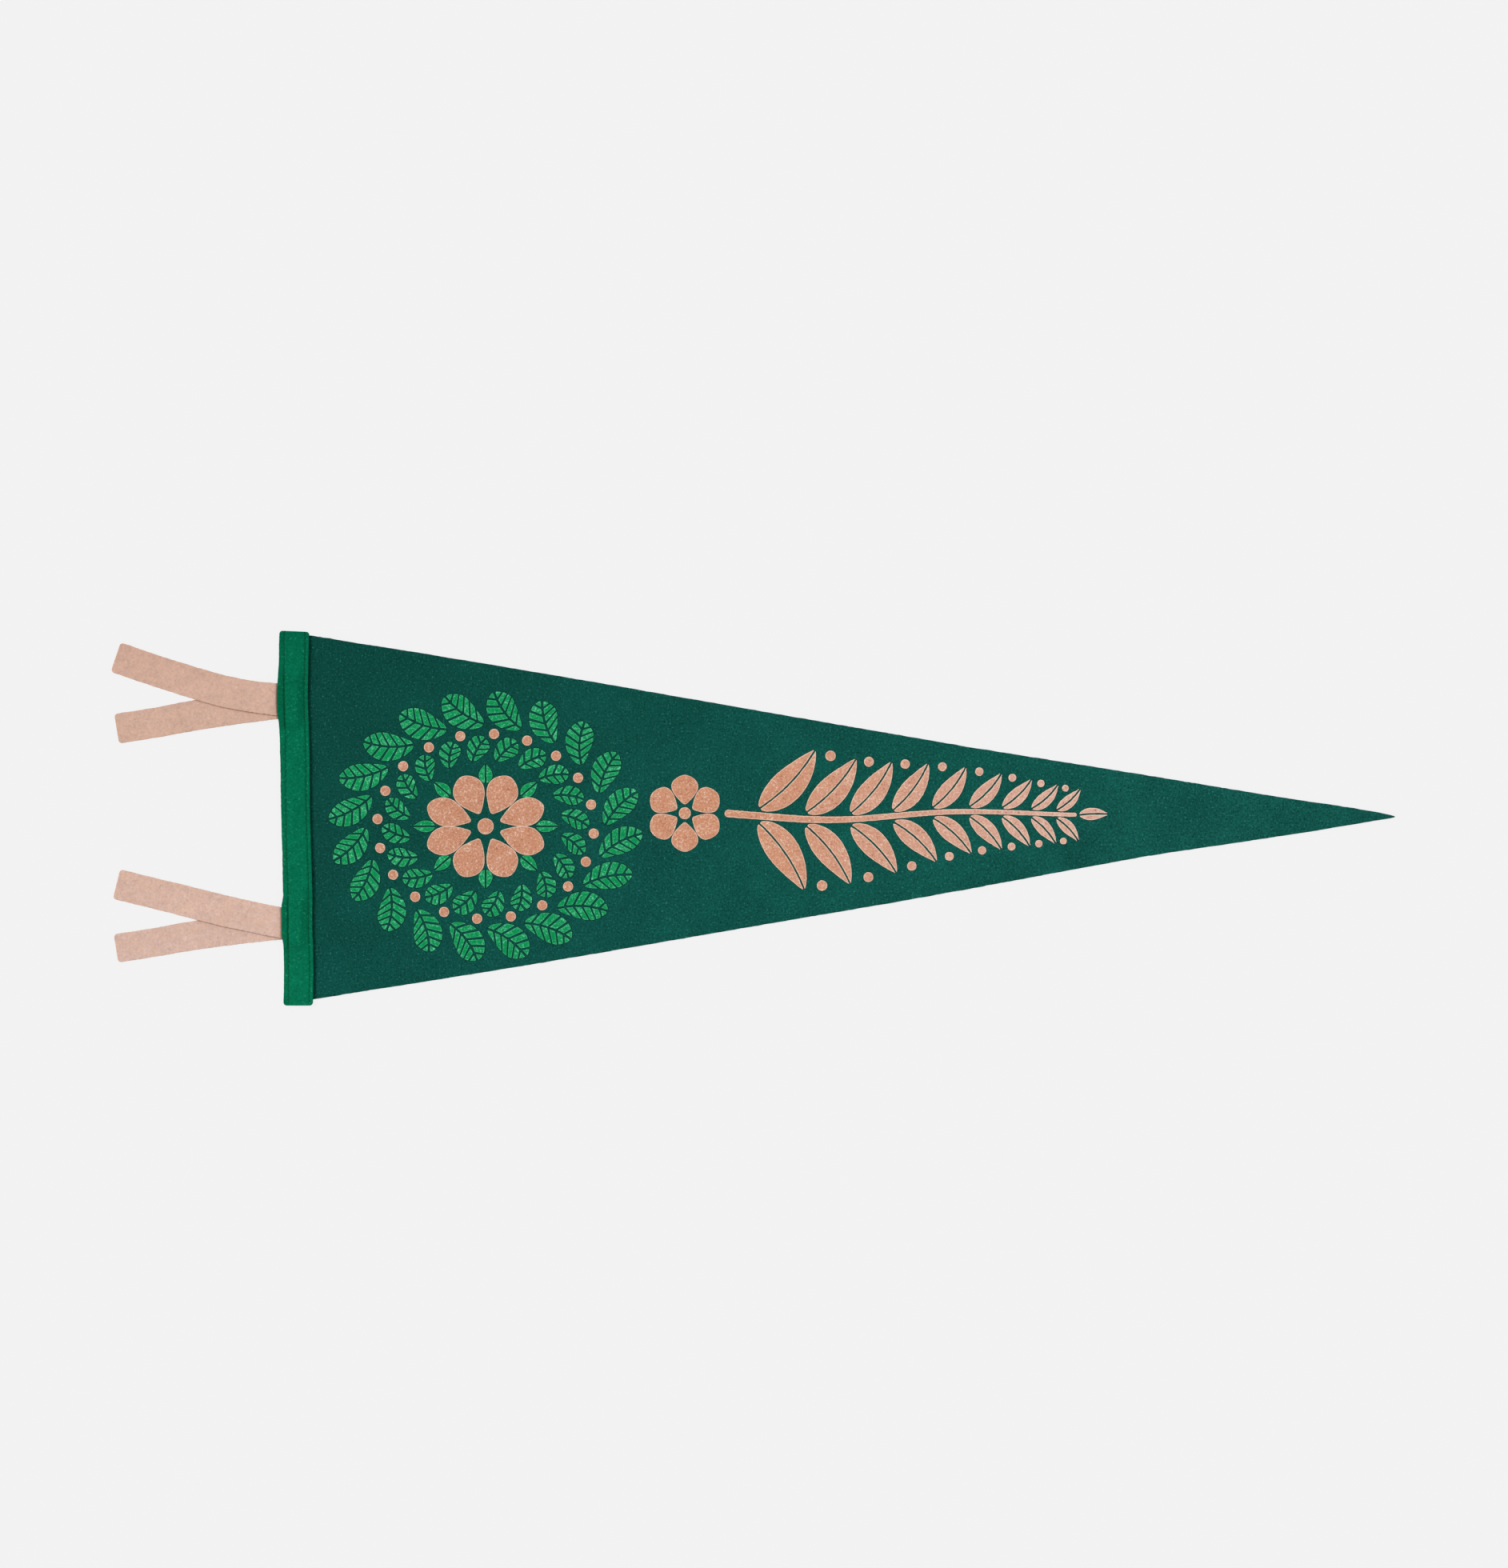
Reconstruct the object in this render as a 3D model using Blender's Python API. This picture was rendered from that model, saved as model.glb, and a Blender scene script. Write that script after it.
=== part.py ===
# Felt pennant flag, lying face up: a long triangle of felt, a heading strip sewn over its
# straight edge, and two ties, each one strip folded in half and caught under the heading.
# Sizes below are in millimetres and become metres when a point is placed.
# +X runs from the ties to the tip, +Y to the heading's upper end, and +Z is up.

import math
from collections import namedtuple

import bmesh
import bpy
import numpy as np

MM = 0.001

# the felt sheets, and the space kept between one and the next
CLOTH_THICK = 1.2
HEADING_THICK = 1.4
TIE_THICK = 1.0
GAP = 0.3

# heights of undersides where the sheets lie on each other
ON_CLOTH = CLOTH_THICK + GAP
TAIL_STEP = TIE_THICK + GAP
HEADING_RISE = 2 * TAIL_STEP

# the triangle: its straight left edge is hidden under the heading, and its long edges bow a little
Section = namedtuple("Section", "lower_x lower_y upper_x upper_y")
CLOTH_HIDDEN_EDGE = Section(lower_x=-287.7, lower_y=-114.0, upper_x=-290.4, upper_y=114.0)
Edges = namedtuple("Edges", "along upper lower")
CLOTH_EDGES = [
    Edges(-272.7, 112.5, -111.8),
    Edges(-244.7, 107.9, -107.3),
    Edges(-197.5, 100.5, -99.9),
    Edges(-138.4, 90.6, -90.4),
    Edges(-91.2, 82.6, -82.3),
    Edges(3.2, 66.1, -66.1),
    Edges(85.9, 51.8, -52.0),
    Edges(133.1, 43.7, -43.5),
    Edges(180.4, 36.2, -34.7),
    Edges(239.4, 26.9, -23.8),
    Edges(286.6, 19.1, -16.7),
    Edges(333.9, 11.4, -9.7),
    Edges(357.5, 8.0, -5.8),
    Edges(381.1, 4.3, -1.9),
    Edges(393.2, 1.7, 0.1),
    Edges(394.6, 1.2, 0.6),
]

# the heading's two long edges, from its lower end up
HeadingEdges = namedtuple("HeadingEdges", "height left right")
HEADING_EDGES = [
    HeadingEdges(-115.2, -288.7, -270.6),
    HeadingEdges(-94.6, -288.4, -270.2),
    HeadingEdges(-77.4, -288.5, -270.5),
    HeadingEdges(-72.5, -289.5, -270.8),
    HeadingEdges(-56.2, -289.7, -271.0),
    HeadingEdges(-47.9, -288.9, -270.8),
    HeadingEdges(-28.2, -289.3, -271.4),
    HeadingEdges(1.3, -290.1, -272.3),
    HeadingEdges(35.8, -290.7, -272.6),
    HeadingEdges(57.9, -291.3, -273.1),
    HeadingEdges(65.3, -292.3, -273.4),
    HeadingEdges(75.1, -292.6, -273.8),
    HeadingEdges(87.4, -291.8, -273.5),
    HeadingEdges(102.2, -291.5, -273.1),
    HeadingEdges(115.2, -291.3, -272.9),
]
HEADING_CORNER = 1.5
UPPER_END_LEAN = 0.6          # the upper end drops by this much from left to right
UPPER_END_LEAN_REACH = 20.0

# two sewing lines press soft troughs into the heading, the left one deeper beside a tie
LEFT_SEAM_IN = 3.5
RIGHT_SEAM_IN = 2.3
TROUGH_HALF_WIDE = 1.0
TROUGH_DEEP = 0.3
TROUGH_DEEP_BY_TIE = 0.5

# the ties: the middle line and the width of each tail, from its free end to the fold
Station = namedtuple("Station", "along middle wide")
Tie = namedtuple("Tie", "name upper_tail lower_tail rise_from rise_to fade_below fade_above colour")
TIE_CORNER = 2.2
TIES = [
    Tie(
        name="tie_upper",
        upper_tail=[
            Station(-392.1, 99.0, 19.1),
            Station(-364.7, 89.8, 19.1),
            Station(-345.1, 83.6, 19.2),
            Station(-325.4, 78.1, 19.4),
            Station(-305.7, 74.4, 19.1),
            Station(-293.4, 73.1, 19.8),
            Station(-282.5, 72.0, 19.2),
        ],
        lower_tail=[
            Station(-391.5, 54.9, 18.4),
            Station(-364.7, 59.3, 18.4),
            Station(-345.1, 62.9, 18.6),
            Station(-325.4, 66.0, 18.6),
            Station(-305.7, 68.7, 18.7),
            Station(-293.4, 70.4, 18.9),
            Station(-282.5, 72.0, 19.2),
        ],
        rise_from=60.0,
        rise_to=84.0,
        fade_below=7.0,
        fade_above=14.0,
        colour=(0.62, 0.39, 0.30),
    ),
    Tie(
        name="tie_lower",
        upper_tail=[
            Station(-391.6, -40.6, 18.7),
            Station(-364.7, -47.1, 18.7),
            Station(-345.1, -52.0, 18.9),
            Station(-325.4, -56.9, 19.0),
            Station(-305.7, -61.2, 18.6),
            Station(-293.4, -63.6, 18.8),
            Station(-280.5, -65.4, 18.2),
        ],
        lower_tail=[
            Station(-391.9, -80.2, 17.6),
            Station(-364.7, -75.8, 17.6),
            Station(-345.1, -72.4, 17.8),
            Station(-325.4, -69.7, 17.8),
            Station(-305.7, -67.3, 17.8),
            Station(-293.4, -65.9, 17.9),
            Station(-280.5, -65.4, 18.2),
        ],
        rise_from=-76.0,
        rise_to=-53.2,
        fade_below=7.0,
        fade_above=8.0,
        colour=(0.65, 0.43, 0.34),
    ),
]

# how a tail comes down, from the cloth's left edge to the surface and from the tail below it
CLEAR_OF_EDGE = 2.0
DROP_FROM_CLOTH = 18.0
DROP_FROM_TAIL = 9.0

# the heading comes back down on the cloth beyond a tie's fold, by its right sewing line
CLEAR_OF_FOLD = 0.4

# mesh steps
HEADING_LONGEST_STEP = 14.0
HEADING_FADE_STEPS = 5
HEADING_MIDDLE_STEPS = 6
TAIL_STEPS = 24
TAIL_STEPS_ACROSS = 5
FOLD_STEPS = 4
CORNER_SHARES = (0.0, 0.13, 0.5, 1.0)

CLOTH_COLOUR = (0.008, 0.082, 0.063)
HEADING_COLOUR = (0.002, 0.150, 0.071)
FELT_ROUGHNESS = 0.95
SHARP_EDGE_DEGREES = 40.0


def clear_scene():
    for thing in list(bpy.data.objects):
        bpy.data.objects.remove(thing, do_unlink=True)


def ease(value):
    held = min(max(value, 0.0), 1.0)
    return held * held * (3.0 - 2.0 * held)


def corner_inset(distance, radius):
    # how far a rounded corner has drawn the side in, at this distance from the strip's end
    if distance >= radius:
        return 0.0
    return radius - math.sqrt(radius ** 2 - (radius - max(distance, 0.0)) ** 2)


def felt(name, colour):
    material = bpy.data.materials.new(name)
    material.use_nodes = True
    shader = material.node_tree.nodes["Principled BSDF"]
    shader.inputs["Base Color"].default_value = (*colour, 1.0)
    shader.inputs["Roughness"].default_value = FELT_ROUGHNESS
    shader.inputs["Metallic"].default_value = 0.0
    return material


def bent_sheet(name, rows, columns, place, material):
    # a flat block of rows by columns cells, one cell thick, bent to shape by place(row, column, layer);
    # row, column and layer run like x, y and z, so that its faces stay outwards
    shape = bmesh.new()
    bmesh.ops.create_grid(shape, x_segments=rows, y_segments=columns, size=0.5)
    bmesh.ops.translate(shape, verts=shape.verts, vec=(0.5, 0.5, 0.0))
    bmesh.ops.scale(shape, verts=shape.verts, vec=(rows, columns, 1.0))
    thickened = bmesh.ops.extrude_face_region(shape, geom=shape.faces[:], use_keep_orig=True)
    lifted = [item for item in thickened["geom"] if isinstance(item, bmesh.types.BMVert)]
    bmesh.ops.translate(shape, verts=lifted, vec=(0.0, 0.0, 1.0))
    bmesh.ops.recalc_face_normals(shape, faces=shape.faces[:])
    for vert in shape.verts:
        x, y, z = place(round(vert.co.x), round(vert.co.y), round(vert.co.z))
        vert.co = (x * MM, y * MM, z * MM)

    mesh = bpy.data.meshes.new(name)
    shape.to_mesh(mesh)
    shape.free()
    mesh.materials.append(material)
    mesh.shade_smooth()
    mesh.set_sharp_from_angle(angle=math.radians(SHARP_EDGE_DEGREES))
    thing = bpy.data.objects.new(name, mesh)
    bpy.context.collection.objects.link(thing)
    return thing


# Cloth

def build_cloth():
    sections = [CLOTH_HIDDEN_EDGE]
    for edges in CLOTH_EDGES:
        sections.append(Section(edges.along, edges.lower, edges.along, edges.upper))

    def place(row, column, layer):
        section = sections[row]
        z = CLOTH_THICK * layer
        if column == 0:
            return section.lower_x, section.lower_y, z
        return section.upper_x, section.upper_y, z

    return bent_sheet("pennant_cloth", len(sections) - 1, 1, place, felt("cloth_felt", CLOTH_COLOUR))


def cloth_left_x(y):
    heights = (CLOTH_HIDDEN_EDGE.lower_y, CLOTH_HIDDEN_EDGE.upper_y)
    return np.interp(y, heights, (CLOTH_HIDDEN_EDGE.lower_x, CLOTH_HIDDEN_EDGE.upper_x))


# Heading

def heading_sides(y):
    heights = [row.height for row in HEADING_EDGES]
    left = np.interp(y, heights, [row.left for row in HEADING_EDGES])
    right = np.interp(y, heights, [row.right for row in HEADING_EDGES])
    return left, right


def fold_x(tie):
    return tie.upper_tail[-1].along


def beside_tie(tie, y):
    # 1 over the tie, fading to 0 on both sides of it
    if y < tie.rise_from:
        return 1.0 - ease((tie.rise_from - y) / tie.fade_below)
    return 1.0 - ease((y - tie.rise_to) / tie.fade_above)


def heading_underside(x, y):
    _, right = heading_sides(y)
    rise = 0.0
    for tie in TIES:
        start = fold_x(tie) + TIE_THICK + GAP / 2 + CLEAR_OF_FOLD
        end = right - RIGHT_SEAM_IN + TROUGH_HALF_WIDE
        across = 1.0 - ease((x - start) / (end - start))
        rise = max(rise, HEADING_RISE * across * beside_tie(tie, y))
    return ON_CLOTH + rise


def trough_depth(x, y):
    left, right = heading_sides(y)
    by_tie = max(beside_tie(tie, y) for tie in TIES)
    left_deep = TROUGH_DEEP + (TROUGH_DEEP_BY_TIE - TROUGH_DEEP) * by_tie
    from_left_seam = abs(x - left - LEFT_SEAM_IN) / TROUGH_HALF_WIDE
    from_right_seam = abs(right - RIGHT_SEAM_IN - x) / TROUGH_HALF_WIDE
    return left_deep * (1.0 - ease(from_left_seam)) + TROUGH_DEEP * (1.0 - ease(from_right_seam))


def heading_heights():
    # where the heading's mesh is cut across: round its corners, up and down beside each tie, and between
    low = HEADING_EDGES[0].height
    high = HEADING_EDGES[-1].height
    cuts = [low + HEADING_CORNER * share for share in CORNER_SHARES]
    cuts += [high - HEADING_CORNER * share for share in CORNER_SHARES]
    for tie in TIES:
        cuts += list(np.linspace(tie.rise_from - tie.fade_below, tie.rise_from, HEADING_FADE_STEPS + 1))
        cuts += list(np.linspace(tie.rise_to, tie.rise_to + tie.fade_above, HEADING_FADE_STEPS + 1))
    cuts.sort()
    filled = [cuts[0]]
    for cut in cuts[1:]:
        steps = math.ceil((cut - filled[-1]) / HEADING_LONGEST_STEP)
        filled += list(np.linspace(filled[-1], cut, steps + 1)[1:])
    return filled


def heading_places_across(left, right):
    # on each edge, on and beside each sewing line, and evenly between the two lines
    left_seam = left + LEFT_SEAM_IN
    right_seam = right - RIGHT_SEAM_IN
    inner_left = left_seam + TROUGH_HALF_WIDE
    inner_right = right_seam - TROUGH_HALF_WIDE
    places = [left, left_seam - TROUGH_HALF_WIDE, left_seam]
    places += list(np.linspace(inner_left, inner_right, HEADING_MIDDLE_STEPS + 1))
    places += [right_seam, right_seam + TROUGH_HALF_WIDE, right]
    return places


def build_heading():
    heights = heading_heights()
    steps_across = len(heading_places_across(*heading_sides(0.0))) - 1

    def place(row, column, layer):
        y = heights[column]
        left, right = heading_sides(y)
        x = heading_places_across(left, right)[row]
        z = heading_underside(x, y)
        if layer == 1:
            z += HEADING_THICK - trough_depth(x, y)
        share = (x - left) / (right - left)
        inset = corner_inset(min(y - heights[0], heights[-1] - y), HEADING_CORNER)
        x += inset * (1.0 - 2.0 * share)
        y -= UPPER_END_LEAN * share * ease(1.0 - (heights[-1] - y) / UPPER_END_LEAN_REACH)
        return x, y, z

    material = felt("heading_felt", HEADING_COLOUR)
    return bent_sheet("heading", steps_across, len(heights) - 1, place, material)


# Ties

def tail_at(tail, x):
    # the middle line's height and slope, and the tail's width, on one smooth curve level at the fold
    points = [station.along for station in tail]
    heights = [station.middle for station in tail]
    slopes = np.gradient(heights, points)
    slopes[-1] = 0.0
    wide = np.interp(x, points, [station.wide for station in tail])
    first = int(np.clip(np.searchsorted(points, x) - 1, 0, len(points) - 2))
    last = first + 1
    length = points[last] - points[first]
    t = (x - points[first]) / length
    climb = heights[last] - heights[first]
    start_rise = slopes[first] * length
    end_rise = slopes[last] * length
    middle = (
        heights[first]
        + climb * t ** 2 * (3.0 - 2.0 * t)
        + start_rise * t * (1.0 - t) ** 2
        - end_rise * t ** 2 * (1.0 - t)
    )
    slope = (
        climb * 6.0 * t * (1.0 - t)
        + start_rise * (1.0 - t) * (1.0 - 3.0 * t)
        + end_rise * t * (3.0 * t - 2.0)
    ) / length
    return middle, slope, wide


def on_cloth(x, y):
    # 1 where a tail lies on the cloth, easing to 0 where it has come down to the surface
    return 1.0 - ease((cloth_left_x(y) - CLEAR_OF_EDGE - x) / DROP_FROM_CLOTH)


def on_lower_tail(tie, x, y):
    # 1 where the upper tail lies on the lower one, easing to 0 beside it
    middle, slope, wide = tail_at(tie.lower_tail, x)
    upper_edge = middle + wide / 2 * math.hypot(1.0, slope)
    return 1.0 - ease((y - upper_edge - CLEAR_OF_EDGE) / DROP_FROM_TAIL)


def lower_tail_underside(tie, x, y):
    return ON_CLOTH * on_cloth(x, y)


def upper_tail_underside(tie, x, y):
    return lower_tail_underside(tie, x, y) + TAIL_STEP * on_lower_tail(tie, x, y)


Spot = namedtuple("Spot", "x y angle wide underside turn")


def tail_spots(tail, underside):
    # places along a tail, closer together round the corners of its free end
    start = tail[0].along
    _, end_slope, _ = tail_at(tail, start)
    end_cosine = math.cos(math.atan(end_slope))
    places = [start + TIE_CORNER * share * end_cosine for share in CORNER_SHARES]
    places += list(np.linspace(places[-1], tail[-1].along, TAIL_STEPS + 1)[1:])
    spots = []
    for x in places:
        middle, slope, wide = tail_at(tail, x)
        wide -= 2.0 * corner_inset((x - start) / end_cosine, TIE_CORNER)
        spots.append(Spot(x, middle, math.atan(slope), wide, underside, None))
    return spots


def fold_spots(tie):
    # half turns of the strip about the fold, from just under the upper tail to just over the lower one
    station = tie.upper_tail[-1]
    turns = [math.pi * step / FOLD_STEPS for step in range(1, FOLD_STEPS)]
    return [Spot(station.along, station.middle, 0.0, station.wide, None, turn) for turn in turns]


def build_tie(tie):
    upper = tail_spots(tie.upper_tail, upper_tail_underside)
    lower = tail_spots(tie.lower_tail, lower_tail_underside)
    spots = upper + fold_spots(tie) + lower[::-1]

    def place(row, column, layer):
        # layer 0 is the face inside the fold, and layer 1 the face outside it
        spot = spots[row]
        side = spot.wide * (column / TAIL_STEPS_ACROSS - 0.5)
        x = spot.x - math.sin(spot.angle) * side
        y = spot.y + math.cos(spot.angle) * side
        if spot.turn is not None:
            radius = GAP / 2 + TIE_THICK * layer
            middle_z = ON_CLOTH + TIE_THICK + GAP / 2
            return x + radius * math.sin(spot.turn), y, middle_z + radius * math.cos(spot.turn)
        z = spot.underside(tie, x, y)
        if spot.underside is upper_tail_underside:
            return x, y, z + TIE_THICK * layer
        return x, y, z + TIE_THICK * (1 - layer)

    return bent_sheet(tie.name, len(spots) - 1, TAIL_STEPS_ACROSS, place, felt(tie.name + "_felt", tie.colour))


def main():
    clear_scene()
    build_cloth()
    build_heading()
    for tie in TIES:
        build_tie(tie)


main()
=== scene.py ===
import math
from bisect import bisect

import bmesh
import bpy
import numpy as np
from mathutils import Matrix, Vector, noise


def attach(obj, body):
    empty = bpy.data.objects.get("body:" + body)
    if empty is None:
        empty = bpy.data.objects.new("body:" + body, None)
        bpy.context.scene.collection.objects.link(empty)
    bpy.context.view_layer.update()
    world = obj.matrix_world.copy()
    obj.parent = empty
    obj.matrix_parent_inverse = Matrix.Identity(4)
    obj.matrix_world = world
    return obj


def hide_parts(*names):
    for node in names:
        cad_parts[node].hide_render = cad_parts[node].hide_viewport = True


# Felt pennant flag lying face up on a pale floor. Every size in the dictionaries is in
# millimetres, in the CAD's own frame: ties at -X, tip at +X, heading's upper end at +Y, +Z up.
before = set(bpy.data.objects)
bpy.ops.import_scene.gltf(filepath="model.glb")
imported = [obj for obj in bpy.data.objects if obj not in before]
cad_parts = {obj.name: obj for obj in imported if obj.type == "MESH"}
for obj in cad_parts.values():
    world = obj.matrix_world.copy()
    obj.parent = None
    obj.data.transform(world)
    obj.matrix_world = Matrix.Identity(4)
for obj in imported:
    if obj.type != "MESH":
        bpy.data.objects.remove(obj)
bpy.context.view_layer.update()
mm = 0.001
print("frame loaded")


# shared helpers

def ease(value):
    held = min(max(value, 0.0), 1.0)
    return held * held * (3.0 - 2.0 * held)


def waver(x, y, size, seed):
    # smooth unevenness, about -1 to 1, that turns over about once in size
    return 1.5 * noise.noise(Vector((x / size + 0.37 * seed, y / size - 0.21 * seed, 7.1 * seed)))


def between(value, points, levels):
    # straight-line reading of a short table
    if value <= points[0]:
        return levels[0]
    if value >= points[-1]:
        return levels[-1]
    last = bisect(points, value)
    share = (value - points[last - 1]) / (points[last] - points[last - 1])
    return levels[last - 1] + share * (levels[last] - levels[last - 1])


def roundDrop(distance, radius):
    # how far a rounded edge or corner has fallen away at this distance from the cut
    if distance >= radius:
        return 0.0
    return radius - math.sqrt(radius ** 2 - (radius - max(distance, 0.0)) ** 2)


def placesAcross(wide, radius, steps):
    # distances from one cut edge to the other, closer together on the two rounded edges
    radius = min(radius, wide * 0.25)
    first = [radius * share for share in (0.0, 0.13, 0.5, 1.0)]
    inner = list(np.linspace(radius, wide - radius, steps + 1)[1:-1])
    return first + inner + [wide - distance for distance in reversed(first)]


def hexColour(text):
    # sRGB hex to the linear colour that a shader takes
    channels = [int(text[start:start + 2], 16) / 255 for start in (0, 2, 4)]
    linear = [c / 12.92 if c <= 0.04045 else ((c + 0.055) / 1.055) ** 2.4 for c in channels]
    return (*linear, 1.0)


def addNode(tree, kind, options=None, values=None, links=None):
    node = tree.nodes.new(kind)
    for name, value in (options or {}).items():
        setattr(node, name, value)
    for socket, value in (values or {}).items():
        node.inputs[socket].default_value = value
    for socket, source in (links or {}).items():
        tree.links.new(source, node.inputs[socket])
    return node


def setStops(ramp, stops):
    # colour stops of a ramp, as (place, hex)
    elements = ramp.color_ramp.elements
    while len(elements) > 1:
        elements.remove(elements[-1])
    elements[0].position = stops[0][0]
    elements[0].color = hexColour(stops[0][1])
    for position, text in stops[1:]:
        elements.new(position).color = hexColour(text)
    return ramp


def startMaterial(name, settings):
    # a new material and its shader; settings hold whatever is the same all over the surface
    material = bpy.data.materials.new(name)
    material.use_nodes = True
    shader = material.node_tree.nodes["Principled BSDF"]
    for socket, value in settings.items():
        shader.inputs[socket].default_value = value
    return material, shader


def addPiece(name, shape, material, smoothBelow=50):
    mesh = bpy.data.meshes.new(name)
    shape.to_mesh(mesh)
    shape.free()
    mesh.materials.append(material)
    mesh.shade_smooth()
    mesh.set_sharp_from_angle(angle=math.radians(smoothBelow))
    piece = bpy.data.objects.new(name, mesh)
    bpy.context.collection.objects.link(piece)
    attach(piece, "root")
    print(name, "made:", len(mesh.polygons), "faces")
    return piece


def addBlock(shape, rows, columns):
    # a flat block of cells, one cell thick, with its faces turned outwards; row, column and layer
    # run like x, y and z, so they stay outwards when it is bent
    made = bmesh.ops.create_grid(shape, x_segments=rows, y_segments=columns, size=0.5)["verts"]
    bmesh.ops.translate(shape, verts=made, vec=(0.5, 0.5, 0.0))
    bmesh.ops.scale(shape, verts=made, vec=(rows, columns, 1.0))
    faces = list({face for vert in made for face in vert.link_faces})
    raised = bmesh.ops.extrude_face_region(shape, geom=faces, use_keep_orig=True)["geom"]
    lifted = [item for item in raised if isinstance(item, bmesh.types.BMVert)]
    bmesh.ops.translate(shape, verts=lifted, vec=(0.0, 0.0, 1.0))
    verts = made + lifted
    whole = list({face for vert in verts for face in vert.link_faces})
    bmesh.ops.recalc_face_normals(shape, faces=whole)
    return verts


def bentSheet(name, rows, columns, place, material):
    # place() gives a corner's x, y and z, and how much painted shade the felt gets there, 0 to 1
    shape = bmesh.new()
    paintedShadeAttribute = shape.verts.layers.float.new("paintedShade")
    for vert in addBlock(shape, rows, columns):
        x, y, z, paintedShade = place(round(vert.co.x), round(vert.co.y), round(vert.co.z))
        vert.co = (x * mm, y * mm, z * mm)
        vert[paintedShadeAttribute] = paintedShade
    return addPiece(name, shape, material)


# camera, straight above the cloth, and the studio

studio = {
    "tallMm": 964.26,          # what the photograph's 1960 pixels of height take in
    "centre": (0.54, 21.01),
    "focusHeight": 1.2,
    "lens": 100,
    "sensor": 36,
    "floor": "f2f2f2",
    "floorGlow": 0.93,         # share of the floor's light that comes from behind the sheet
    "floorSize": 40.0,         # metres
    "skyStrength": 0.70,
    "keyStrength": 1.36,
    "keyFrom": (-0.74, 0.42, 0.88),
    "keySpread": 24,           # degrees, very soft
}


def addCamera():
    data = bpy.data.cameras.new("studioCamera")
    data.lens = studio["lens"]
    data.sensor_width = studio["sensor"]
    distance = studio["tallMm"] * mm * studio["lens"] / studio["sensor"]
    camera = bpy.data.objects.new("studioCamera", data)
    camera.location = (
        studio["centre"][0] * mm, studio["centre"][1] * mm, distance + studio["focusHeight"] * mm)
    data.clip_start = 0.05
    data.clip_end = 100.0
    bpy.context.collection.objects.link(camera)
    bpy.context.scene.camera = camera


def addFloor():
    # backlit opal sheet: an even pale ground with no gloss, on which a shadow hardly shows
    tone = hexColour(studio["floor"])[0]
    own = tone * (1.0 - studio["floorGlow"])
    opal = startMaterial("backlitOpalSheet", {
        "Base Color": (own, own, own, 1.0), "Emission Color": (1.0, 1.0, 1.0, 1.0),
        "Emission Strength": tone * studio["floorGlow"],
        "Roughness": 1.0, "Specular IOR Level": 0.0})[0]
    shape = bmesh.new()
    bmesh.ops.create_grid(shape, x_segments=1, y_segments=1, size=studio["floorSize"] / 2)
    mesh = bpy.data.meshes.new("studioFloor")
    shape.to_mesh(mesh)
    shape.free()
    mesh.materials.append(opal)
    floor = bpy.data.objects.new("studioFloor", mesh)
    bpy.context.collection.objects.link(floor)
    return floor


def addLights():
    world = bpy.data.worlds.new("softStudio")
    bpy.context.scene.world = world
    world.use_nodes = True
    sky = world.node_tree.nodes["Background"]
    sky.inputs["Color"].default_value = hexColour("ffffff")
    sky.inputs["Strength"].default_value = studio["skyStrength"]
    key = bpy.data.lights.new("softKey", "SUN")
    key.energy = studio["keyStrength"]
    key.angle = math.radians(studio["keySpread"])
    lamp = bpy.data.objects.new("softKey", key)
    lamp.rotation_mode = "QUATERNION"
    lamp.rotation_quaternion = Vector(studio["keyFrom"]).to_track_quat("Z", "Y")
    bpy.context.collection.objects.link(lamp)


addCamera()
studioFloor = addFloor()
addLights()
bpy.context.scene.view_settings.view_transform = "Standard"
print("camera, floor and lights made")


# felt

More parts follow.
